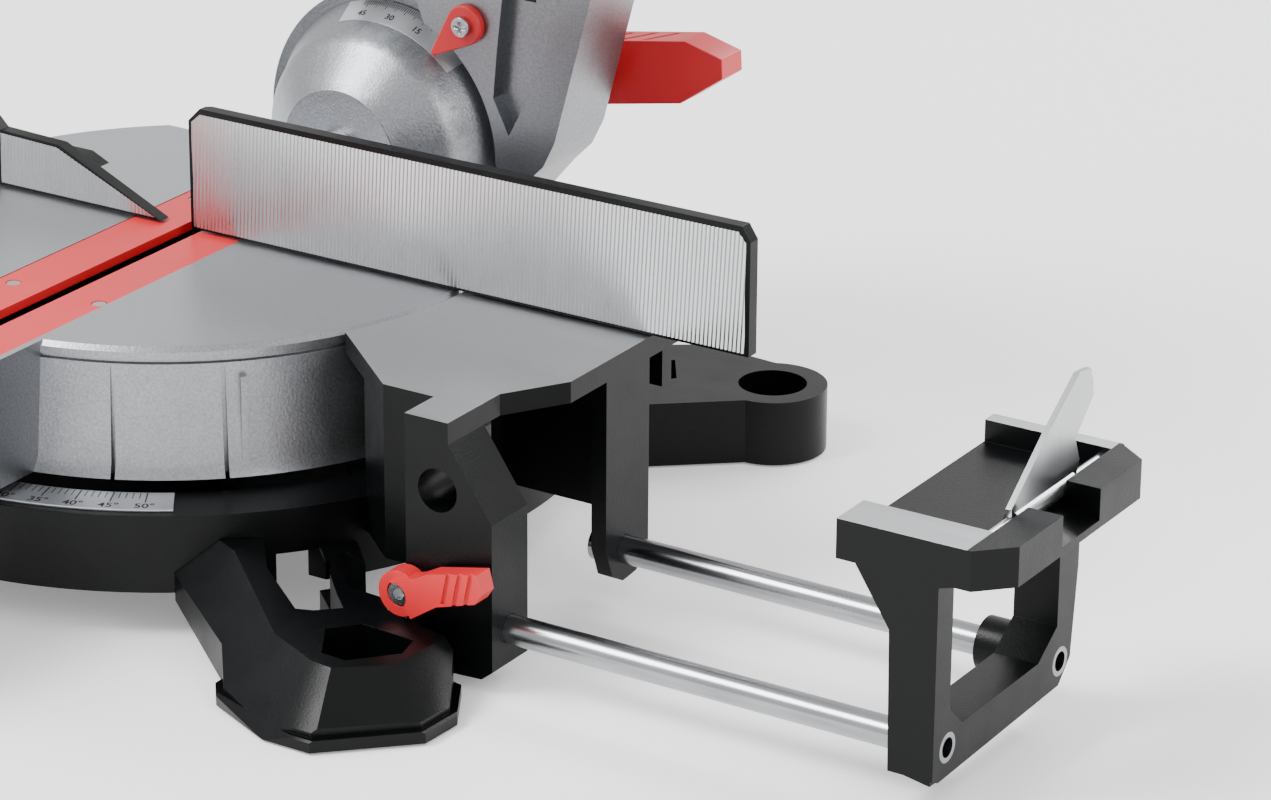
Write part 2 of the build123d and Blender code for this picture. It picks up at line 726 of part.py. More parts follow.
# ---- Head casting: drive case, arm and pivot hub ----
case_back = 40
case_front = guard_right
case_circles = ((0, 0, 24), (motor_y, motor_z, 38))
head_arm = [
    (30, -6), (118, 6), (205, 19), (hub_y, hub_z - hub_head_r + 1), (hub_y, hub_z + hub_head_r - 1),
    (150, 84), (80, 96), (36, 60),
]
handle_root = [(30, 28), (44, 96), (-30, 112), (-92, 112), (-88, 88), (-20, 76)]
with BuildPart() as head:
    with BuildSketch(head_side(case_front)) as case_outline:
        for y, z, r in case_circles:
            with Locations((y, z)):
                Circle(r)
        make_hull()
    extrude(amount=case_back - case_front)
    slab(head_side(case_front + 3), head_arm, 48)
    slab(head_side(handle_x + 4), handle_root, case_back - handle_x - 10)
    bar(head_side(cheek_left + cheek_t + face_gap), (hub_y, hub_z), hub_head_r, hub_right - cheek_left - cheek_t)
    # the arm is cut back where the cover closes the case
    with BuildSketch(head_side(case_back)):
        for y, z, r in case_circles:
            with Locations((y, z)):
                Circle(r + face_gap)
        make_hull()
    extrude(amount=40, mode=Mode.SUBTRACT)
    # pulley chamber, open to the right
    with BuildSketch(head_side(case_x)):
        for y, z, r in case_circles:
            with Locations((y, z)):
                Circle(r - 4)
        make_hull()
    extrude(amount=40, mode=Mode.SUBTRACT)
    bar(head_side(motor_x), (motor_y, motor_z), motor_r + 2, 40, Mode.SUBTRACT)
    bar(head_side(5.6), (0, 0), 18, case_front - 5)
    bar(head_side(0), (0, 0), spindle_r + 0.3, 30, Mode.SUBTRACT)
    bar(head_side(12), (0, 0), 16, 12, Mode.SUBTRACT)
    bar(head_side(-20), (hub_y, hub_z), shaft_r + running_gap, 130, Mode.SUBTRACT)
    bar(head_side(spring_left), (hub_y, hub_z), 16, 40, Mode.SUBTRACT)
keep("head_casting", head)

with BuildPart() as drive_cover:
    with BuildSketch(head_side(case_back)):
        for y, z, r in case_circles:
            with Locations((y, z)):
                Circle(r)
        make_hull()
    extrude(amount=motor_x - case_back)
    bar(head_side(motor_x), (0, 0), 17, 10)
    bar(head_side(case_back - 1), (0, 0), 13, 12, Mode.SUBTRACT)
    bar(head_side(case_back - 1), (motor_y, motor_z), 9, 10, Mode.SUBTRACT)
keep("drive_cover", drive_cover)

# ---- Blade guards ----
upper_sweep = [(-200, -8), (200, -8), (200, 200), (-200, 200)]
with BuildPart() as upper_guard:
    with BuildSketch(head_side(guard_left)):
        Circle(guard_r)
        with BuildLine():
            Polyline(*upper_sweep, close=True)
        make_face(mode=Mode.INTERSECT)
    extrude(amount=guard_right - guard_left)
    port_plane = Plane(head_side(-5.8).from_local_coords(Vector(56, port_z, 0)), x_dir=(1, 0, 0),
                       z_dir=(0, tip_c, -tip_s))
    bar(port_plane, (0, 0), 15.5, 92)
    with BuildSketch(head_side(guard_left + guard_wall - 0.5)):
        Circle(guard_r - guard_wall)
    extrude(amount=guard_right - guard_left - 2 * guard_wall + 1, mode=Mode.SUBTRACT)
    # the port's bore ends in a step that keeps the spigot clear of the blade
    bar(port_plane, (0, 0), 12, 94, Mode.SUBTRACT)
    bar(port_plane.offset(38), (0, 0), 13, 56, Mode.SUBTRACT)
    bar(head_side(guard_left - 1), (0, 0), 24, 6, Mode.SUBTRACT)
    bar(head_side(guard_right - 5), (0, 0), 22, 8, Mode.SUBTRACT)
keep("upper_guard", upper_guard)

guard_start, guard_end = 180, 350
guard_span = [(0, 0)]
for step in range(9):
    turn = radians(guard_start + step * (guard_end - guard_start) / 8)
    guard_span.append((200 * cos(turn), 200 * sin(turn)))
with BuildPart() as lower_guard:
    for plate_x0, hub_out in ((-12.5, 36), (7.7 - lower_guard_t, 34)):
        with BuildSketch(head_side(plate_x0)):
            Circle(lower_guard_r)
            with BuildLine():
                Polyline(*guard_span, close=True)
            make_face(mode=Mode.INTERSECT)
            Circle(hub_out)
            Circle(26 if plate_x0 < 0 else 18 + running_gap, mode=Mode.SUBTRACT)
        extrude(amount=lower_guard_t)
    with BuildSketch(head_side(-12.5)):
        Circle(lower_guard_r)
        with BuildLine():
            Polyline(*guard_span, close=True)
        make_face(mode=Mode.INTERSECT)
        Circle(lower_guard_r - 2, mode=Mode.SUBTRACT)
    extrude(amount=20.2)
keep("lower_guard", lower_guard)

# ---- Blade, flanges and spindle ----
pitch = 360 / teeth
blade_points = []
for tooth in range(teeth):
    for radius, share in ((blade_r - 8, 0.0), (blade_r, 0.12), (blade_r - 1, 0.42), (blade_r - 6, 0.62)):
        turn = radians((tooth + share) * pitch)
        blade_points.append((radius * cos(turn), radius * sin(turn)))
with BuildPart() as saw_blade:
    slab(head_side(-blade_kerf / 2), blade_points, blade_kerf)
    bar(head_side(-5), (0, 0), spindle_r + running_gap, 10, Mode.SUBTRACT)
keep("saw_blade", saw_blade)

with BuildPart() as blade_flanges:
    ring(head_side(blade_kerf / 2), (0, 0), 22, spindle_r + running_gap, 3.8)
    ring(head_side(-blade_kerf / 2 - 3.4), (0, 0), 22, spindle_r + running_gap, 3.4)
keep("blade_flanges", blade_flanges)

with BuildPart() as arbor_bolt:
    bar(head_side(-10.5), (0, 0), 11, 10.5 - blade_kerf / 2 - 3.4)
    with BuildSketch(head_side(-10.5)):
        RegularPolygon(5, 6)
    extrude(amount=4, mode=Mode.SUBTRACT)
keep("arbor_bolt", arbor_bolt)

with BuildPart() as spindle:
    bar(head_side(-blade_kerf / 2 - 3.4), (0, 0), spindle_r, 55)
keep("spindle", spindle)

pulley_x, pulley_w = 29, 9
pulley_r, motor_pulley_r = 16, 11
with BuildPart() as spindle_pulley:
    ring(head_side(pulley_x), (0, 0), pulley_r, spindle_r + running_gap, pulley_w)
keep("spindle_pulley", spindle_pulley)

with BuildPart() as drive_belt:
    with BuildSketch(head_side(pulley_x + 0.5)):
        for grow, mode in ((2.8, Mode.ADD), (0.3, Mode.SUBTRACT)):
            with BuildSketch(mode=Mode.PRIVATE) as loop:
                Circle(pulley_r + grow)
                with Locations((motor_y, motor_z)):
                    Circle(motor_pulley_r + grow)
                make_hull()
            add(loop.sketch, mode=mode)
    extrude(amount=pulley_w - 1)
keep("drive_belt", drive_belt)

# ---- Motor ----
motor_end = motor_x + motor_len
brush_x = motor_len - 32
with BuildPart() as motor_housing:
    bar(head_side(motor_x), (motor_y, motor_z), motor_r, motor_len)
    bar(head_side(motor_x - 1), (motor_y, motor_z), motor_r - 3, motor_len + 2, Mode.SUBTRACT)
    vent_plane = Plane(head_side(motor_x + 18).from_local_coords(Vector(motor_y, motor_z, 0)),
                       x_dir=(1, 0, 0), z_dir=(0, tip_s, tip_c))
    for step in range(5):
        with BuildSketch(vent_plane):
            with Locations((step * 6, 0)):
                Rectangle(3, 34)
        extrude(amount=motor_r + 2, both=True, mode=Mode.SUBTRACT)
    for way in (1, -1):
        with BuildSketch(vent_plane):
            with Locations((brush_x, 0)):
                Circle(9)
        extrude(amount=way * (motor_r + 3))
        with BuildSketch(vent_plane):
            with Locations((brush_x, 0)):
                Circle(6)
        extrude(amount=way * (motor_r + 4), mode=Mode.SUBTRACT)
    bar(head_side(motor_x - 1), (motor_y, motor_z), 24, motor_len + 2, Mode.SUBTRACT)
keep("motor_housing", motor_housing)

with BuildPart() as motor_cap:
    bar(head_side(motor_end), (motor_y, motor_z), motor_r, 14)
    bar(head_side(motor_end - 1), (motor_y, motor_z), motor_r - 3, 12, Mode.SUBTRACT)
    ring(head_side(motor_end + 1), (motor_y, motor_z), 12, 8, 12)
    with BuildSketch(head_side(motor_end + 5)):
        with Locations((motor_y, motor_z)):
            with PolarLocations(25, 10):
                SlotOverall(16, 4)
    extrude(amount=12, mode=Mode.SUBTRACT)
keep("motor_end_cap", motor_cap)

with BuildPart() as stator:
    ring(head_side(motor_x + 26), (motor_y, motor_z), motor_r - 3 - running_gap, 25, 42)
keep("motor_stator", stator)

with BuildPart() as rotor:
    bar(head_side(pulley_x - 2), (motor_y, motor_z), 5, motor_end + 11 - pulley_x)
    ring(head_side(motor_x + 27), (motor_y, motor_z), 24, 5, 40)
    ring(head_side(motor_x + 74), (motor_y, motor_z), 13, 5, 16)
keep("motor_rotor", rotor)

with BuildPart() as motor_pulley:
    ring(head_side(pulley_x), (motor_y, motor_z), motor_pulley_r, 5 + running_gap, pulley_w)
keep("motor_pulley", motor_pulley)

with BuildPart() as fan:
    ring(head_side(motor_x + 8), (motor_y, motor_z), 10, 5 + running_gap, 12)
    ring(head_side(motor_x + 8), (motor_y, motor_z), 36, 9, 1.5)
    with BuildSketch(head_side(motor_x + 9)):
        with Locations((motor_y, motor_z)):
            with PolarLocations(22, 12):
                Rectangle(26, 1.6)
    extrude(amount=11)
keep("cooling_fan", fan)

with BuildPart() as bearings:
    ring(head_side(12.2), (0, 0), 15.8, spindle_r + running_gap, 11)
    ring(head_side(case_back + 0.5), (0, 0), 12.8, spindle_r + running_gap, 10)
    ring(head_side(case_back + 0.5), (motor_y, motor_z), 8.9, 5 + running_gap, 6)
    ring(head_side(motor_end + 2), (motor_y, motor_z), 7.9, 5 + running_gap, 8)
keep("ball_bearings", bearings)

with BuildPart() as brush_caps:
    for way in (1, -1):
        with BuildSketch(vent_plane.offset(way * (motor_r + 3) - (4 if way > 0 else 0))):
            with Locations((brush_x, 0)):
                Circle(5.8)
                Rectangle(9, 1.4, mode=Mode.SUBTRACT)
        extrude(amount=4)
        with BuildSketch(vent_plane.offset(way * 28)):
            with Locations((brush_x, 0)):
                Circle(5.8)
        extrude(amount=way * (motor_r - 1 - 28))
keep("brush_caps", brush_caps)

# ---- Handle: two shells round a trigger and its lock-off button ----
handle_outline = [
    (-66, 84), (-70, 122), (-100, 128), (-150, 122), (-190, 102), (-206, 74), (-200, 48), (-178, 38),
    (-120, 44), (-92, 62),
]
finger_hole = [(-100, 92), (-110, 104), (-146, 100), (-170, 86), (-180, 68), (-172, 60), (-124, 64),
               (-106, 76)]
trigger_pin = (-108, 106.3)
trigger_outline = [(-104, 97), (-104, 108), (-142, 106), (-150, 98), (-140, 90), (-124, 94)]


def handle_half(x, cavity_x):
    """One shell of the handle, hollow on the side of the joint."""
    depth = handle_w / 2
    slab(head_side(x), handle_outline, depth)
    with BuildSketch(head_side(cavity_x)) as cavity:
        with BuildLine():
            Polyline(*handle_outline, close=True)
        make_face()
        offset(amount=-handle_wall, kind=Kind.INTERSECTION)
        with BuildSketch(mode=Mode.PRIVATE) as hole:
            with BuildLine():
                Polyline(*finger_hole, close=True)
            make_face()
            offset(amount=handle_wall, kind=Kind.INTERSECTION)
        add(hole.sketch, mode=Mode.SUBTRACT)
    extrude(cavity.sketch, amount=depth - handle_wall, mode=Mode.SUBTRACT)
    slab(head_side(x), finger_hole, depth, Mode.SUBTRACT)
    # room for the trigger and for the casting's arm
    trigger_slot = [(-102.8, 90), (-102.8, 112), (-152, 112), (-152, 88)]
    slab(head_side(handle_x + 9), trigger_slot, handle_w - 18, Mode.SUBTRACT)
    bar(head_side(handle_x + 1.5), trigger_pin, 1.5 + running_gap, handle_w - 3, Mode.SUBTRACT)
    slab(head_side(handle_x + 3.7), [(-94, 114), (-90, 86), (-60, 80), (-60, 114)], 17, Mode.SUBTRACT)


with BuildPart() as handle_left:
    handle_half(handle_x, handle_x + handle_wall)
    bar(head_side(handle_x - 1), (-84, 119), 4 + 0.2, 8, Mode.SUBTRACT)
keep("handle_shell_left", handle_left)
with BuildPart() as handle_right:
    handle_half(handle_x + handle_w / 2, handle_x + handle_w / 2)
keep("handle_shell_right", handle_right)

with BuildPart() as handle_grip:
    slab(head_side(handle_x + 4), [(-104, 129.2), (-150, 123.4), (-190, 103.4), (-196, 92), (-196, 104),
                                   (-192, 107), (-151, 127.4), (-105, 132)], handle_w - 8)
keep("handle_grip", handle_grip)

with BuildPart() as trigger:
    slab(head_side(handle_x + 10), trigger_outline, handle_w - 20)
    bar(head_side(handle_x + 1.8), trigger_pin, 1.5, handle_w - 3.6)
keep("trigger", trigger)

with BuildPart() as lock_off:
    bar(head_side(handle_x - 3.5), (-84, 119), 4, 7)
keep("lock_off_button", lock_off)

# ---- Mitre lock knob and detent lever on the turntable's arm ----
with BuildPart() as mitre_knob:
    with BuildSketch(front(arm_front - 4)):
        with Locations((0, knob_z)):
            Circle(19)
            with PolarLocations(21, 8):
                Circle(4.5, mode=Mode.SUBTRACT)
    extrude(amount=22)
    bar(front(arm_front - 0.5), (0, knob_z), 11, 4)
    bar(front(arm_front), (0, knob_z), 5 + running_gap, 20, Mode.SUBTRACT)
keep("mitre_lock_knob", mitre_knob)

with BuildPart() as mitre_rod:
    bar(front(arm_front - 20), (0, knob_z), 5, arm_front - 20 + 240)
keep("mitre_lock_rod", mitre_rod)

with BuildPart() as detent_lever:
    slab(side(-detent_half), [(-316, detent_z - 2.5), (-300, detent_z + 2.5), (-184, detent_z + 2.5),
                              (-180, detent_z + 5.5), (-176.5, detent_z + 5.5), (-177, detent_z - 2.5),
                              (-300, detent_z - 2.5), (-316, detent_z - 7.5)], 2 * detent_half)
    bar(side(-detent_half - 6), (detent_y, detent_z), detent_pin_r, 2 * detent_half + 12)
keep("detent_lever", detent_lever)

# ---- Side supports: bracket, rods, flip-up stop, stop pin and lock lever ----
front_cheek = [
    (bracket_x + 3, table_height),
    (bracket_x + 3, table_height - 8),
    (frame_x - 1, table_height - 39),
    (frame_x, 18.5),
    (frame_x + 3.6, 14.5),
    (frame_x + 18, frame_bottom),
    (frame_x + 18, 92),
    (frame_x + 25, 94),
    (lip_x + 2, 95.5),
    (lip_x + 2, table_height),
]
rear_cheek = front_cheek[:3] + [(frame_x + 18, table_height - 39)] + front_cheek[6:]
frame_window = [(-106, 90), (-106, 39), (-96, 30), (-36, 30), (-21, 40), (-21, 90)]
with BuildPart() as bracket:
    lip_out = lip_x + lip_t
    deck_outline = [
        (bracket_x, deck_front),
        (lip_x + 2, deck_front),
        (lip_out, deck_front + 13),
        (lip_out, deck_back - 10),
        (lip_x + 1, deck_back),
        (bracket_x, deck_back),
    ]
    slab(Plane.XY.offset(table_height - bracket_deck_t), deck_outline, bracket_deck_t)
    slab(
        side(frame_x),
        [(deck_front, table_height - 1), (deck_front, frame_bottom + 2), (-113.5, frame_bottom),
         (-18, frame_bottom + 2), (-9, 23), (-5, 60), (-5, table_height - 1)],
        frame_t,
    )
    slab(front(deck_front + 12), front_cheek, 12)
    slab(front(deck_back), rear_cheek, 12)
    slab(side(frame_x - 1), frame_window, frame_t + 2, Mode.SUBTRACT)
    # pocket for the folded stop, open towards the saw
    block((bracket_x - 1, lip_x), (pocket_front, pocket_back), (table_height - pocket_depth, table_height + 1),
          Mode.SUBTRACT)
    # finger scoop in the outer lip
    slab(front(-71), [(lip_x - 1, table_height + 1), (lip_x - 1, table_height - 9),
                      (lip_out + 1, table_height - 13), (lip_out + 1, table_height + 1)], -30, Mode.SUBTRACT)
    for rod_y in (front_rod_y, rear_rod_y):
        if rod_y == rear_rod_y:
            bar(side(frame_x - 13), (rod_y, rod_z), rod_boss_r, 14)
        bar(side(frame_x - 20), (rod_y, rod_z), rod_r + running_gap, frame_t + 30, Mode.SUBTRACT)
    bar(front(pocket_back + 5), (lip_x - 4, stop_pin_z), stop_pin_r + running_gap, 105, Mode.SUBTRACT)
keep_pair("support_bracket", bracket)

with BuildPart() as rods:
    for rod_y, inner_x in ((front_rod_y, front_rod_inner_x), (rear_rod_y, rear_rod_inner_x)):
        ring(side(inner_x), (rod_y, rod_z), rod_r, rod_bore_r, frame_x + frame_t - inner_x)
    # a screw with a collar in each inner end stops the rod at its guide
    for rod_y, inner_x in ((front_rod_y, front_rod_inner_x), (rear_rod_y, rear_rod_inner_x)):
        bar(side(inner_x), (rod_y, rod_z), rod_bore_r - running_gap, 12)
        bar(side(inner_x - stop_screw_t), (rod_y, rod_z), stop_screw_r + 2.2, stop_screw_t)
keep_pair("support_rods", rods)

stop_outline = [
    (-79, table_height + 1), (-51, table_height + 22.5), (-28, table_height + 38),
    (-18.5, table_height + 37), (-16, table_height + 31), (-15.5, table_height + 25),
    (-29, table_height + 12), (-25, table_height + 2.5), (-27, table_height - 3),
    (-78, table_height - 3),
]
with BuildPart() as flip_stop:
    slab(side(lip_x - 4 - sheet_t / 2), stop_outline, sheet_t)
    bar(front(-30), (lip_x - 4, stop_pin_z), stop_pin_r + 1.6, 46)
    bar(front(-20), (lip_x - 4, stop_pin_z), stop_pin_r + running_gap, 80, Mode.SUBTRACT)
    bar(front(pocket_back + 4), (lip_x - 4, stop_pin_z), stop_pin_r, 103)
keep_pair("flip_stop", flip_stop)

with BuildPart() as clamp_lever:
    bar(front(tower_front - 1), (tower_x + 2.5, 38), 9.5, 8)
    slab(
        front(tower_front - 3),
        [(tower_x, 44), (tower_x + 12, 47.5), (tower_x + 18.5, 51), (tower_x + 41, 56),
         (tower_x + 43, 48), (tower_x + 40, 43.5), (tower_x + 22, 38), (tower_x + 10, 30)],
        9,
    )
    # finger grooves across the paddle
    for start in (24, 29, 34):
        slab(front(tower_front - 10.8), [(tower_x + start, 40), (tower_x + start + 2, 40),
                                         (tower_x + start + 5.5, 56), (tower_x + start + 3.5, 56)],
             3, Mode.SUBTRACT)
    bar(front(tower_front), (tower_x + 2.5, 38), 3 + running_gap, 12, Mode.SUBTRACT)
    bar(front(tower_front - 5), (tower_x + 2.5, 38), 5.4, 12, Mode.SUBTRACT)
keep_pair("support_lever", clamp_lever)

with BuildPart() as clamp_screw:
    bar(front(tower_front + 12), (tower_x + 2.5, 38), 3, 18)
    bar(front(tower_front - 5.1), (tower_x + 2.5, 38), 4.75, 4)
    with BuildSketch(front(tower_front - 9.1)):
        with Locations((tower_x + 2.5, 38)):
            RegularPolygon(2.6, 6)
    extrude(amount=-2.5, mode=Mode.SUBTRACT)
keep_pair("support_lever_screw", clamp_screw)

os.makedirs("parts", exist_ok=True)
for name, solid in made.items():
    export_step(solid, f"parts/{name}.step")
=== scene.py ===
"""Bench mitre saw with pull-out side supports, finished piece by piece in the order it is put together."""
import json
from math import cos, pi, radians, sin

import bmesh
import bpy
from mathutils import Matrix, Vector


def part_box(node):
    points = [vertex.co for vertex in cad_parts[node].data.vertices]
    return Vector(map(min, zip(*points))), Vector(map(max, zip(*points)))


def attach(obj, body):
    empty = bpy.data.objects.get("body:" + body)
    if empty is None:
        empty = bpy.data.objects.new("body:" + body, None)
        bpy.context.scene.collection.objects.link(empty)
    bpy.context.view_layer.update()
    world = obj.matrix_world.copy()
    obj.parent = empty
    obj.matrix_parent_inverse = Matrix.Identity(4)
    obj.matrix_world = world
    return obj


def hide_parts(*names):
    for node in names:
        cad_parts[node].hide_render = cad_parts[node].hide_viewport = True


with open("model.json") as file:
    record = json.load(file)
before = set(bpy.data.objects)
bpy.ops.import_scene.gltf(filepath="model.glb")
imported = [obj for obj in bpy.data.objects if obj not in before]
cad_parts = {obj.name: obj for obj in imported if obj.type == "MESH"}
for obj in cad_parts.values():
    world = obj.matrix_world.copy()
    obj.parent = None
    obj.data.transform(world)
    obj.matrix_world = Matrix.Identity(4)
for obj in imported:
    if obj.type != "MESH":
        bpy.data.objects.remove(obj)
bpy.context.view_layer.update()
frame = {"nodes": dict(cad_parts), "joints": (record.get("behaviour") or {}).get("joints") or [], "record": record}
mm = 0.001

# ---- Camera ----
# A long lens on a tall stand to the front right, looking down on the right-hand end of the saw.
# Its three turns are in radians, and it is level to within half a degree.
stand_point = (1.1740, -1.5147, 0.7991)
yaw, pitch, roll = 0.559, 0.382, 0.007
ahead = Vector((-sin(yaw) * cos(pitch), cos(yaw) * cos(pitch), -sin(pitch)))
level_right = Vector((cos(yaw), sin(yaw), 0))
level_up = level_right.cross(ahead)
right = cos(roll) * level_right + sin(roll) * level_up
up = cos(roll) * level_up - sin(roll) * level_right
lens = bpy.data.cameras.new("camera")
lens.lens = 135.5
lens.sensor_width = 36
camera = bpy.data.objects.new("camera", lens)
turn = Matrix((right, up, -ahead)).transposed()
camera.matrix_world = Matrix.Translation(stand_point) @ turn.to_4x4()
bpy.context.collection.objects.link(camera)
bpy.context.scene.camera = camera

# ---- Floor and studio light ----
# A pale floor in matt paint that gives a little light back, in an evenly lit white room.
# A large soft lamp stands to the front left, with a weak fill on the right and a strip lamp behind.


def linear(code):
    """An sRGB hex colour as linear RGBA."""
    parts = [int(code[i:i + 2], 16) / 255 for i in (1, 3, 5)]
    return tuple(c / 12.92 if c <= 0.04045 else ((c + 0.055) / 1.055) ** 2.4 for c in parts) + (1,)


floor_reach = 6
floor_mesh = bmesh.new()
bmesh.ops.create_grid(floor_mesh, x_segments=1, y_segments=1, size=floor_reach)
floor_data = bpy.data.meshes.new("floor")
floor_mesh.to_mesh(floor_data)
floor = bpy.data.objects.new("floor", floor_data)
bpy.context.collection.objects.link(floor)
floor_paint = bpy.data.materials.new("matt_white_floor_paint")
floor_paint.use_nodes = True
floor_shader = floor_paint.node_tree.nodes["Principled BSDF"]
floor_shader.inputs["Base Color"].default_value = linear("#FBFBFA")
floor_shader.inputs["Roughness"].default_value = 0.9
floor_shader.inputs["Emission Color"].default_value = linear("#FFFFFF")
floor_shader.inputs["Emission Strength"].default_value = 0.25
floor_data.materials.append(floor_paint)

world = bpy.data.worlds.new("studio")
bpy.context.scene.world = world
world.use_nodes = True
world.node_tree.nodes["Background"].inputs["Color"].default_value = linear("#FFFFFF")
world.node_tree.nodes["Background"].inputs["Strength"].default_value = 1.2
lit_point = Vector((0.1, 0, 0.15))
lamps = (
    ("key_lamp", (-0.9, -1.2, 1.9), 1.0, 1.0, 74),
    ("fill_lamp", (1.9, -0.5, 1.1), 0.7, 0.7, 9),
    ("strip_lamp", (0.6, 1.8, 1.4), 2.2, 0.4, 36),
)
for lamp_name, place, wide, high, watts in lamps:
    lamp_data = bpy.data.lights.new(lamp_name, "AREA")
    lamp_data.shape = "RECTANGLE"
    lamp_data.size = wide
    lamp_data.size_y = high
    lamp_data.energy = watts
    lamp = bpy.data.objects.new(lamp_name, lamp_data)
    aim = lit_point - Vector(place)
    lamp.rotation_euler = aim.to_track_quat("-Z", "Y").to_euler()
    lamp.location = place
    bpy.context.collection.objects.link(lamp)

# ---- Base casting and front feet ----
# Pressure die-cast aluminium under black powder paint: drum, table wings, towers and legs in one,
# with the two feet bolted to it. The paint is satin with a fine sand grain; table faces are milled.
record = frame["record"]
body_of = {n: b for b, names in record["behaviour"]["bodies"].items() for n in names}
table_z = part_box("turntable")[1].z


def node(tree, kind, feeds=None, **settings):
    """Adds a node with its settings; feeds gives a value or another node's socket for each input."""
    made = tree.nodes.new("ShaderNode" + kind)
    for key, value in settings.items():
        setattr(made, key, value)
    for key, value in (feeds or {}).items():
        if isinstance(value, bpy.types.NodeSocket):
            tree.links.new(value, made.inputs[key])
        else:
            made.inputs[key].default_value = value
    return made


def surface(name, colour, metallic, roughness, mottle=0.06, grain=1.2, relief=0.04, stretch=(1, 1, 1),
            spread=0.08, ior=1.5):
    """A material whose colour, gloss and height (relief, in millimetres) vary over grains of a size
    in millimetres. What doesn't vary is set on the shader itself."""
    grains_per_metre, clouds_per_metre = 1000 / grain, 60 / grain
    material = bpy.data.materials.new(name)
    material.use_nodes = True
    tree = material.node_tree
    shader = tree.nodes["Principled BSDF"]
    place = node(tree, "TexCoord")
    place = node(tree, "Mapping", {"Vector": place.outputs["Object"], "Scale": stretch})
    fine = node(tree, "TexNoise", {"Vector": place.outputs["Vector"], "Scale": grains_per_metre,
                                   "Detail": 2.0})
    broad = node(tree, "TexNoise", {"Vector": place.outputs["Vector"], "Scale": clouds_per_metre,
                                    "Detail": 3.0})
    shade = linear(colour)
    if mottle:
        mix = node(tree, "Mix", {"Factor": fine.outputs["Fac"]}, data_type="RGBA")
        colours = [socket for socket in mix.inputs if socket.type == "RGBA"]
        colours[0].default_value = tuple(c * (1 - mottle) for c in shade[:3]) + (1,)
        colours[1].default_value = tuple(min(1, c * (1 + mottle)) for c in shade[:3]) + (1,)
        mixed = next(socket for socket in mix.outputs if socket.type == "RGBA")
        tree.links.new(mixed, shader.inputs["Base Color"])
    else:
        shader.inputs["Base Color"].default_value = shade
    gloss = node(tree, "MapRange", {"Value": broad.outputs["Fac"], "From Min": 0.3, "From Max": 0.7,
                                    "To Min": roughness - spread / 2, "To Max": roughness + spread / 2})
    tree.links.new(gloss.outputs["Result"], shader.inputs["Roughness"])
    if relief:
        bump = node(tree, "Bump", {"Height": fine.outputs["Fac"], "Distance": relief * mm,
                                   "Strength": 1.0})
        tree.links.new(bump.outputs["Normal"], shader.inputs["Normal"])
    shader.inputs["Metallic"].default_value = metallic
    if not metallic:
        shader.inputs["IOR"].default_value = ior
    return material


def add_piece(name, mesh, body, materials, replaced=(), sharp=35):
    """Makes an object of a bmesh, shades it smooth between its sharp edges, and fixes it to its body."""
    for face in mesh.faces:
        face.smooth = True
    for edge in mesh.edges:
        if len(edge.link_faces) == 2:
            edge.smooth = edge.calc_face_angle(0) < radians(sharp)
    data = bpy.data.meshes.new(name)
    mesh.to_mesh(data)
    mesh.free()
    piece = bpy.data.objects.new(name, data)
    bpy.context.collection.objects.link(piece)
    for material in materials:
        data.materials.append(material)
    even = piece.modifiers.new("even_shading", "WEIGHTED_NORMAL")
    even.keep_sharp = True
    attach(piece, body)
    if replaced:
        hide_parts(*replaced)
    return piece


def soften(node_name, materials, width=0.5, segments=2, cuts=(), choose=None):
    """A copy of a CAD node with its edges rounded by a width in millimetres, as the real piece's are.
    Cuts are (point, normal) planes, and choose gives each face the number of its material."""
    same_point, same_plane, hard_edge = 0.002 * mm, radians(1.5), radians(30)
    mesh = bmesh.new()
    mesh.from_mesh(frame["nodes"][node_name].data)
    bmesh.ops.remove_doubles(mesh, verts=mesh.verts, dist=same_point)
    for point, normal in cuts:
        bmesh.ops.bisect_plane(mesh, geom=mesh.verts[:] + mesh.edges[:] + mesh.faces[:],
                               plane_co=point, plane_no=normal, dist=0.001 * mm)
    if choose:
        for face in mesh.faces:
            face.material_index = choose(face.calc_center_median() / mm, face.normal)
    bmesh.ops.dissolve_limit(mesh, angle_limit=same_plane, verts=mesh.verts, edges=mesh.edges,
                             delimit={"MATERIAL"})
    if width:
        sharp = [e for e in mesh.edges if len(e.link_faces) == 2 and e.calc_face_angle(0) > hard_edge]
        bmesh.ops.bevel(mesh, geom=sharp, offset=width * mm, segments=segments, profile=0.5,
                        affect="EDGES", clamp_overlap=True, material=-1, offset_type="OFFSET")
    return add_piece(node_name + "_finished", mesh, body_of[node_name], materials, [node_name])


def on_table(centre, normal):
    """1 for a face in the plane of the milled table, and 0 for the rest of a casting."""
    return int(normal.z > 0.99 and centre.z > table_z / mm - 0.2)


# Powder paint is a dielectric: dark satin with a grain of half a millimetre, drawn a little coarser to show.
black_paint = surface("sand_textured_black_powder_paint", "#040506", 0, 0.34, mottle=0.3, grain=1.0,
                      relief=0.07)
black_paint.node_tree.nodes["Principled BSDF"].inputs["Specular IOR Level"].default_value = 0.16
# Milled aluminium shows bright parallel cutter lines about 0.6 mm apart.
milled = surface("milled_aluminium", "#B9BBBD", 1, 0.34, mottle=0.10, grain=5, relief=0.012,
                 stretch=(1, 9, 9), spread=0.1)
# Turned aluminium has rings too fine to see, so it shows as a faint even sheen.
milled_round = surface("turned_aluminium", "#B4B6B9", 1, 0.36, mottle=0.08, grain=2.5, relief=0.012)
soften("base_casting", [black_paint, milled], width=0.7, choose=on_table)
for way in ("right", "left"):
    soften("foot_" + way, [black_paint], width=0.9, segments=3)

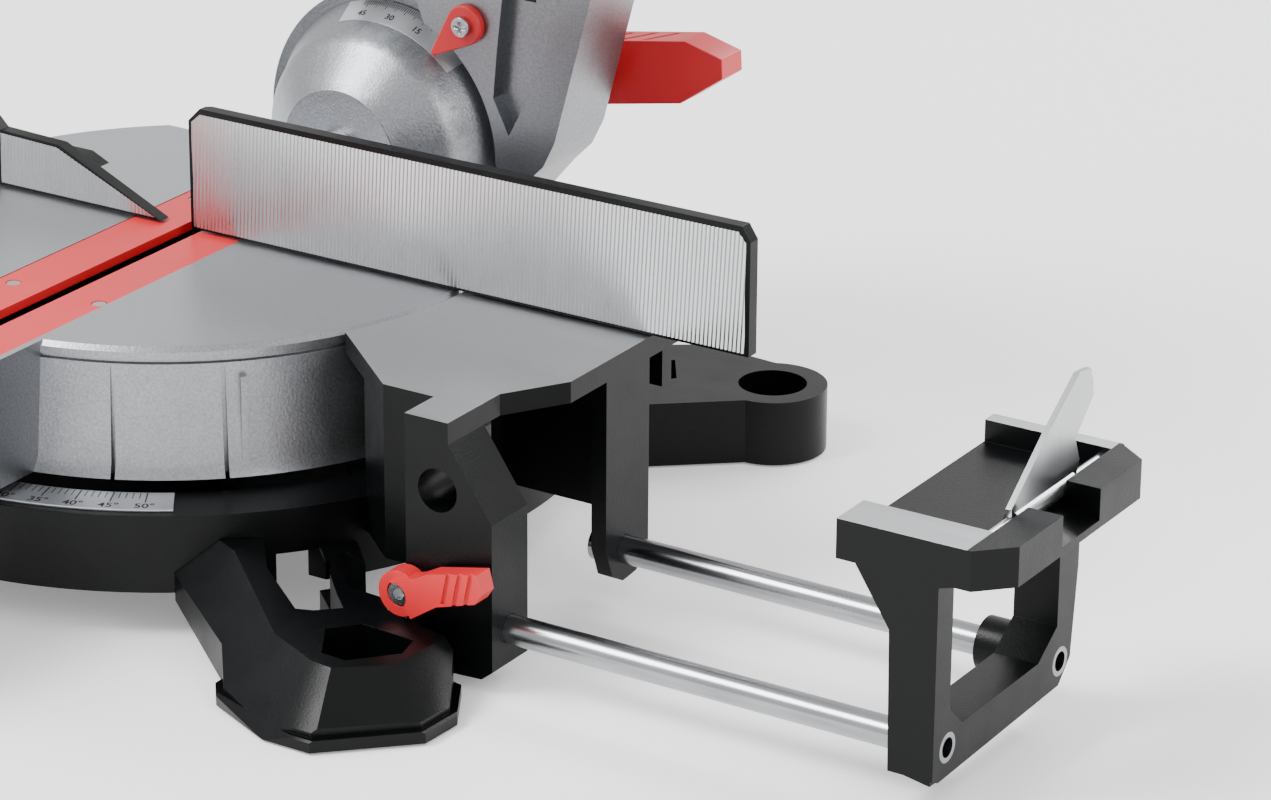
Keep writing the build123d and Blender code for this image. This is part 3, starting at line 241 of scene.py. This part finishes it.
# ---- Foot pads ----
# Discs under the bench bolts that keep the saw from walking on the bench.
# They are moulded in black rubber and fixed under the feet and legs.
# Rubber is matt, and a little grey where the mould was blasted.
rubber = surface("moulded_rubber", "#1B1B1C", 0, 0.8, mottle=0.15, grain=2)
soften("foot_pads", [rubber], width=0.6)

# ---- Mitre scale ----
# A thin anodised aluminium plate bonded flat on the drum's ledge.
# It has a screen-printed mark for each degree and a number for each five.
# Clear anodising gives a pale, even satin; the ink on it is black and half matt.
anodised_plate = surface("clear_anodised_plate", "#D3D5D7", 1, 0.38, mottle=0.03, grain=0.8, relief=0.004)
ink = surface("black_screen_ink", "#111113", 0, 0.5, mottle=0.05, grain=1, relief=0)
soften("mitre_scale_plate", [anodised_plate], width=0.3)
scale_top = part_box("mitre_scale_plate")[1].z / mm
scale_zero = -18.7
mark_ring, mark_lift, ink_height = 153.4, 0.01, 0.06
figure_ring, figure_lift, figure_height = 166.3, 0.02, 6.0


def printed(name, marks, words, body):
    """Ink marks as thin plates: marks are placed unit cubes, words are (text, height, place)."""
    half_thickness, boldness = 0.02, 0.09
    mesh = bmesh.new()
    for place in marks:
        bmesh.ops.create_cube(mesh, size=1, matrix=place)
    for text, height, place in words:
        curve = bpy.data.curves.new("figure", "FONT")
        curve.body = text
        curve.size = height * mm
        curve.align_x = "CENTER"
        curve.align_y = "CENTER"
        curve.extrude = half_thickness * mm
        curve.offset = boldness * mm
        curve.resolution_u = 3
        letter = bpy.data.objects.new("figure", curve)
        bpy.context.collection.objects.link(letter)
        flat = bpy.data.meshes.new_from_object(letter)
        flat.transform(place)
        mesh.from_mesh(flat)
        bpy.data.objects.remove(letter)
        bpy.data.meshes.remove(flat)
    bmesh.ops.recalc_face_normals(mesh, faces=mesh.faces)
    return add_piece(name, mesh, body, [ink])


scale_marks, scale_words = [], []
for degree in range(-50, 51):
    spin = Matrix.Rotation(radians(scale_zero + degree), 4, "Z")
    wide, long = (0.6, 9.2) if degree % 5 == 0 else (0.4, 5.6)
    middle = Matrix.Translation((0, -(mark_ring + long / 2) * mm, (scale_top + mark_lift) * mm))
    scale_marks.append(spin @ middle @ Matrix.Diagonal((wide * mm, long * mm, ink_height * mm, 1)))
    if degree % 5 == 0:
        lift = Matrix.Translation((0, -figure_ring * mm, (scale_top + figure_lift) * mm))
        scale_words.append((str(abs(degree)) + "°", figure_height, spin @ lift))
printed("mitre_scale_print", scale_marks, scale_words, "base")

# ---- Fence ----
# Two die-cast aluminium halves in black paint, bolted to the table behind the cut.
# The face is broached after painting: fine upright teeth, slightly slanted, in bare metal.
# Broached aluminium is bright on each tooth's flank and dark in its root.
fence_face = surface("broached_aluminium", "#C6C8CA", 1, 0.3, mottle=0.12, grain=1.5, relief=0.02,
                     stretch=(3, 3, 1))


def serrate(name, outline, body):
    """Upright teeth over a flat face. Its convex outline in X and Z, in millimetres, runs
    anticlockwise as seen from the front."""
    half_pitch, tip_y, root_y, slant, height = 0.95, -0.42, -0.02, 3.0, 56
    run_in, spare_flanks = 5, 8
    low = min(x for x, z in outline)
    high = max(x for x, z in outline)
    count = int((high - low) / half_pitch) + spare_flanks
    mesh = bmesh.new()
    row = [mesh.verts.new(((low - run_in + i * half_pitch) * mm, (tip_y if i % 2 else root_y) * mm,
                           table_z)) for i in range(count)]
    edges = [mesh.edges.new(pair) for pair in zip(row, row[1:])]
    raised = bmesh.ops.extrude_edge_only(mesh, edges=edges)["geom"]
    lifted = [v for v in raised if isinstance(v, bmesh.types.BMVert)]
    bmesh.ops.translate(mesh, verts=lifted, vec=(slant * mm, 0, height * mm))
    for (x0, z0), (x1, z1) in zip(outline, outline[1:] + outline[:1]):
        outward = Vector((z1 - z0, 0, x0 - x1)).normalized()
        bmesh.ops.bisect_plane(mesh, geom=mesh.verts[:] + mesh.edges[:] + mesh.faces[:],
                               plane_co=Vector((x0, 0, z0)) * mm, plane_no=outward,
                               dist=0.0001 * mm, clear_outer=True)
    bmesh.ops.recalc_face_normals(mesh, faces=mesh.faces)
    if sum(f.normal.y for f in mesh.faces) > 0:
        bmesh.ops.reverse_faces(mesh, faces=mesh.faces)
    return add_piece(name, mesh, body, [fence_face], sharp=15)


face_low, face_top = 112.0, 162.6
serrate("fence_teeth_right", [(6, face_low), (277, face_low), (277, 158.6), (273.6, face_top),
                              (10.5, face_top), (6, 158.6)], "base")
serrate("fence_teeth_left_outer", [(-277, face_low), (-99.5, face_low), (-99.5, 134.8),
                                   (-129, face_top), (-273.6, face_top), (-277, 158.6)], "base")
serrate("fence_teeth_left_inner", [(-98, face_low), (-15, face_low), (-67, 133.6), (-98, 134.6)],
        "base")
for way in ("right", "left"):
    soften("fence_" + way, [black_paint], width=0.6)
# Zinc plating is a bright, slightly blue grey with soft reflections.
zinc = surface("zinc_plated_steel", "#B9BBBE", 1, 0.28, mottle=0.06, grain=1.5, relief=0.006)
soften("fence_screws", [zinc], width=0.35)

# ---- Turntable ----
# Die-cast aluminium, shot blasted all over, with a milled top and an arm that carries the kerf plates.
# It turns on one bolt through the base; the red kerf plates are screwed down beside the cut.
# Shot blasting leaves dents of half a millimetre, drawn twice as coarse so that they show.
blasted = surface("shot_blasted_aluminium", "#94969A", 1, 0.4, mottle=0.34, grain=1.1, relief=0.1,
                  spread=0.05)
soften("turntable", [blasted, milled_round], width=0.8, segments=3, choose=on_table)
# Moulded glass-filled nylon is black and nearly matt; the unfilled red plastic is smoother and glossier.
black_nylon = surface("moulded_black_nylon", "#101113", 0, 0.45, mottle=0.12, grain=1.6, relief=0.03)
red_plastic = surface("moulded_red_plastic", "#CF1F27", 0, 0.38, mottle=0.05, grain=1.4, relief=0.02,
                      spread=0.06, ior=1.52)
soften("kerf_plates", [red_plastic], width=0.4)
soften("kerf_screws", [zinc], width=0.2)
soften("turntable_pivot_bolt", [zinc], width=0.4)
soften("mitre_pointer", [red_plastic], width=0.3)

# ---- Mitre lock and detent ----
# A ribbed nylon knob screwed on a plated steel rod that presses on the base's drum.
# Below it a steel detent lever, painted black, swings on a pin through two ears on the arm.
soften("mitre_lock_knob", [black_nylon], width=1.2, segments=3)
soften("mitre_lock_rod", [zinc], width=0.4)
soften("detent_lever", [black_paint], width=0.7)

# ---- Side supports ----
# Each is a painted casting fixed on two steel tubes that slide in the base, held by a red lever.
# A sheet steel stop is hinged in the bracket and flips up above its milled top.
# Ground and polished steel has long light and dark streaks painted into its colour as painted reflection; brushed
# sheet shows fine lines along its grain.
streak_painted_steel = surface("ground_and_polished_steel", "#9A9C9F", 1, 0.2, mottle=0.28, grain=5, relief=0.008,
                       stretch=(0.2, 2, 2), spread=0.12)
brushed_sheet = surface("brushed_stainless_sheet", "#B8BABC", 1, 0.3, mottle=0.08, grain=1.2, relief=0.006,
                        stretch=(1, 1, 0.08))
milled_end = 441
for way, sign in (("right", 1), ("left", -1)):
    soften("support_bracket_" + way, [black_paint, milled], width=1.0, segments=3,
           cuts=[((sign * milled_end * mm, 0, 0), (1, 0, 0))],
           choose=lambda centre, normal: on_table(centre, normal) * (abs(centre.x) < milled_end))
    soften("support_rods_" + way, [streak_painted_steel], width=0.5, segments=3)
    soften("flip_stop_" + way, [brushed_sheet], width=0.3)
    soften("support_lever_" + way, [red_plastic], width=1.1, segments=3)
    soften("support_lever_screw_" + way, [zinc], width=0.5, segments=3)

# ---- Bevel trunnion ----
# A stepped round boss of blasted die-cast aluminium, bolted to the turntable's back.
# The bevel scale is an anodised strip wrapped round its sloping band, printed as the other.
soften("bevel_trunnion", [blasted], width=1.2, segments=3)
soften("trunnion_bolts", [zinc], width=0.4)
soften("bevel_shaft", [zinc], width=0.5)
label_inner, label_outer = Vector((141, 54.5)), Vector((153.2, 60.6))
slope = (label_outer - label_inner).normalized()
label_start, label_turn, label_steps, label_lift, label_gauge = -20, 66, 28, 0.25, 0.3


def on_band(angle, along, lift):
    """Place on the band: an angle from the top towards the right, a distance up the slope, a height."""
    out = Vector((sin(radians(angle)), 0, cos(radians(angle))))
    tangent = Vector((cos(radians(angle)), 0, -sin(radians(angle))))
    climb = Vector((0, slope.x, 0)) + out * slope.y
    normal = tangent.cross(climb)
    base = label_inner + slope * along
    point = Vector((0, base.x, table_z / mm)) + out * base.y + normal * lift
    turned = Matrix((tangent, climb, normal)).transposed().to_4x4()
    return Matrix.Translation(point * mm) @ turned


label = bmesh.new()
label_end = on_band(label_start, 0, label_lift)
across = Vector((0, (label_outer - label_inner).length * mm, 0))
label_edge = label.edges.new([label.verts.new(label_end @ spot) for spot in (Vector(), across)])
bmesh.ops.spin(label, geom=[label_edge], cent=(0, 0, table_z), axis=(0, 1, 0), dvec=(0, 0, 0),
               angle=radians(label_turn), steps=label_steps, use_merge=False)
bmesh.ops.recalc_face_normals(label, faces=label.faces)
bmesh.ops.solidify(label, geom=label.faces[:], thickness=label_gauge * mm)
add_piece("bevel_scale_label", label, "turntable", [anodised_plate])
bevel_zero, mark_end, figure_line, print_lift, small_figure = 36, 13.2, 4.6, 0.3, 4.4
bevel_marks = []
for degree in range(-2, 48):
    long = 4.6 if degree % 5 == 0 else 3.0
    spot = on_band(bevel_zero - degree, mark_end - long / 2, print_lift)
    bevel_marks.append(spot @ Matrix.Diagonal((0.28 * mm, long * mm, ink_height * mm, 1)))
bevel_words = [(str(degree), small_figure, on_band(bevel_zero - degree, figure_line, print_lift))
               for degree in (0, 15, 30, 45)]
printed("bevel_scale_print", bevel_marks, bevel_words, "turntable")

# ---- Bevel arm, pointer and lock lever ----
# The arm is a blasted aluminium casting that turns on the trunnion's shaft and carries the head.
# Its pointer is red plastic under one screw; the red lever behind it clamps the arm on the shaft.
soften("bevel_arm", [blasted], width=1.6, segments=3)
soften("bevel_pointer", [red_plastic], width=0.9, segments=3)
soften("pointer_screw", [zinc], width=0.8, segments=3)
soften("bevel_lock_lever", [red_plastic], width=1.8, segments=4)

# ---- Chop pivot ----
# A plated steel pin through the arm's fork, on which the head swings down.
# The return spring is coiled round the pin's end in 2.3 mm wire. It is oiled: a dark, soft-edged shine.
soften("chop_pivot_pin", [zinc], width=0.6)
spring_steel = surface("oiled_spring_steel", "#5A5B5E", 1, 0.35, mottle=0.1, grain=2)
joint_place = {joint["name"]: Vector(joint["pos_m"]) for joint in frame["joints"]
               if "pos_m" in joint}
chop_centre = joint_place["head_chop"]
coil_start, coil_length, coil_radius, wire_radius, wire_sides = 72.3, 17.2, 12.7, 1.15, 10
turns, steps_per_turn = 6.5, 28
coil_steps = int(turns * steps_per_turn)
wire_centre = chop_centre + Vector((coil_start, 0, coil_radius)) * mm
coil = bmesh.new()
bmesh.ops.create_circle(coil, segments=wire_sides, radius=wire_radius * mm,
                        matrix=Matrix.Translation(wire_centre) @ Matrix.Rotation(radians(90), 4, "X"))
bmesh.ops.spin(coil, geom=coil.edges[:], cent=chop_centre, axis=(1, 0, 0),
               dvec=(coil_length * mm / coil_steps, 0, 0), angle=2 * pi * turns,
               steps=coil_steps, use_merge=False, use_normal_flip=False)
bmesh.ops.holes_fill(coil, edges=coil.edges[:], sides=wire_sides)
bmesh.ops.recalc_face_normals(coil, faces=coil.faces)
add_piece("return_spring_coil", coil, "arm", [spring_steel], ["return_spring"])
soften("depth_stop_bolt", [zinc], width=0.4)
lock_knob_end = -27.5
soften("head_lock_pin", [red_plastic, zinc], width=0.5,
       choose=lambda centre, normal: int(centre.x > lock_knob_end))

# ---- Head: castings and guards ----
# The drive case and its arm are one blasted aluminium casting, closed by a nylon belt cover.
# The upper guard is cast and blasted too; the lower one is clear polycarbonate and swings round the blade.
soften("head_casting", [blasted], width=1.6, segments=3)
soften("drive_cover", [black_nylon], width=1.2, segments=3)
soften("upper_guard", [blasted], width=1.2, segments=3)
# Moulded polycarbonate is clear with a faint blue edge and a hard gloss.
clear = surface("clear_polycarbonate", "#DDE4E8", 0, 0.12, mottle=0, grain=5, relief=0, ior=1.58)
clear.node_tree.nodes["Principled BSDF"].inputs["Transmission Weight"].default_value = 0.92
soften("lower_guard", [clear], width=0.3)

# ---- Blade and spindle ----
# A ground steel plate with carbide tips brazed on, clamped between flanges on the spindle.
# The spindle runs in ball bearings, and a ribbed rubber belt turns it from the motor.
# Ground steel is bright with a fine haze; carbide is a darker, duller grey.
blade_set = Matrix.Translation(joint_place["blade_spin"]) @ Matrix.Rotation(radians(-45), 4, "X")
blade_steel = surface("ground_blade_steel", "#A9ABAE", 1, 0.25, mottle=0.1, grain=3, relief=0.004)
soften("saw_blade", [blade_steel], width=0)
carbide = surface("sintered_carbide", "#6F7073", 1, 0.3, mottle=0.08, grain=1)
tooth_count, first_tooth = 40, 0.14
tip_radius, tip_lead = 104.6, 0.4
tip_shape = Matrix.Diagonal((2.8 * mm, 6.4 * mm, 1.7 * mm, 1))
tip_place = Matrix.Translation((0, tip_radius * mm, tip_lead * mm)) @ tip_shape
tips = bmesh.new()
for tooth in range(tooth_count):
    swing = Matrix.Rotation(2 * pi * (tooth + first_tooth) / tooth_count, 4, "X")
    bmesh.ops.create_cube(tips, size=1, matrix=blade_set @ swing @ tip_place)
bmesh.ops.bevel(tips, geom=tips.edges[:], offset=0.2 * mm, segments=1, profile=0.5, affect="EDGES",
                material=-1)
add_piece("blade_tips", tips, "blade", [carbide])
soften("blade_flanges", [zinc], width=0.4)
soften("arbor_bolt", [zinc], width=0.5)
soften("spindle", [zinc], width=0.3)
soften("spindle_pulley", [zinc], width=0.4)
soften("ball_bearings", [streak_painted_steel], width=0.3)
soften("drive_belt", [rubber], width=0.3)

# ---- Motor ----
# A universal motor in a moulded nylon housing on the drive case: a laminated steel stator,
# a wound rotor with its fan and pulley, and brushes under two screw caps.
# Laminated steel shows its sheet edges as grey lines; enamelled copper is a dark reddish brown.
soften("motor_housing", [black_nylon], width=0.9, segments=3)
soften("motor_end_cap", [black_nylon], width=1.2, segments=3)
laminated = surface("laminated_electrical_steel", "#6C6A68", 1, 0.5, mottle=0.2, grain=2, stretch=(6, 1, 1))
copper = surface("enamelled_copper_winding", "#A0562C", 1, 0.35, mottle=0.2, grain=2)
soften("motor_stator", [laminated], width=0.4)
winding_start, winding_end = 69, 136
soften("motor_rotor", [laminated, copper], width=0.4,
       choose=lambda centre, normal: int(winding_start < centre.x < winding_end))
soften("motor_pulley", [zinc], width=0.3)
soften("cooling_fan", [black_nylon], width=0.3)
soften("brush_caps", [black_nylon], width=0.4)

# ---- Handle ----
# Two moulded nylon shells, closed round the head casting's end as a loop.
# A soft rubber grip is let in, with a red trigger on a pin inside the loop and a red lock-off button.
for way in ("left", "right"):
    soften("handle_shell_" + way, [black_nylon], width=3.0, segments=5)
soften("handle_grip", [rubber], width=0.6)
soften("trigger", [red_plastic], width=1.0, segments=3)
soften("lock_off_button", [red_plastic], width=0.5)
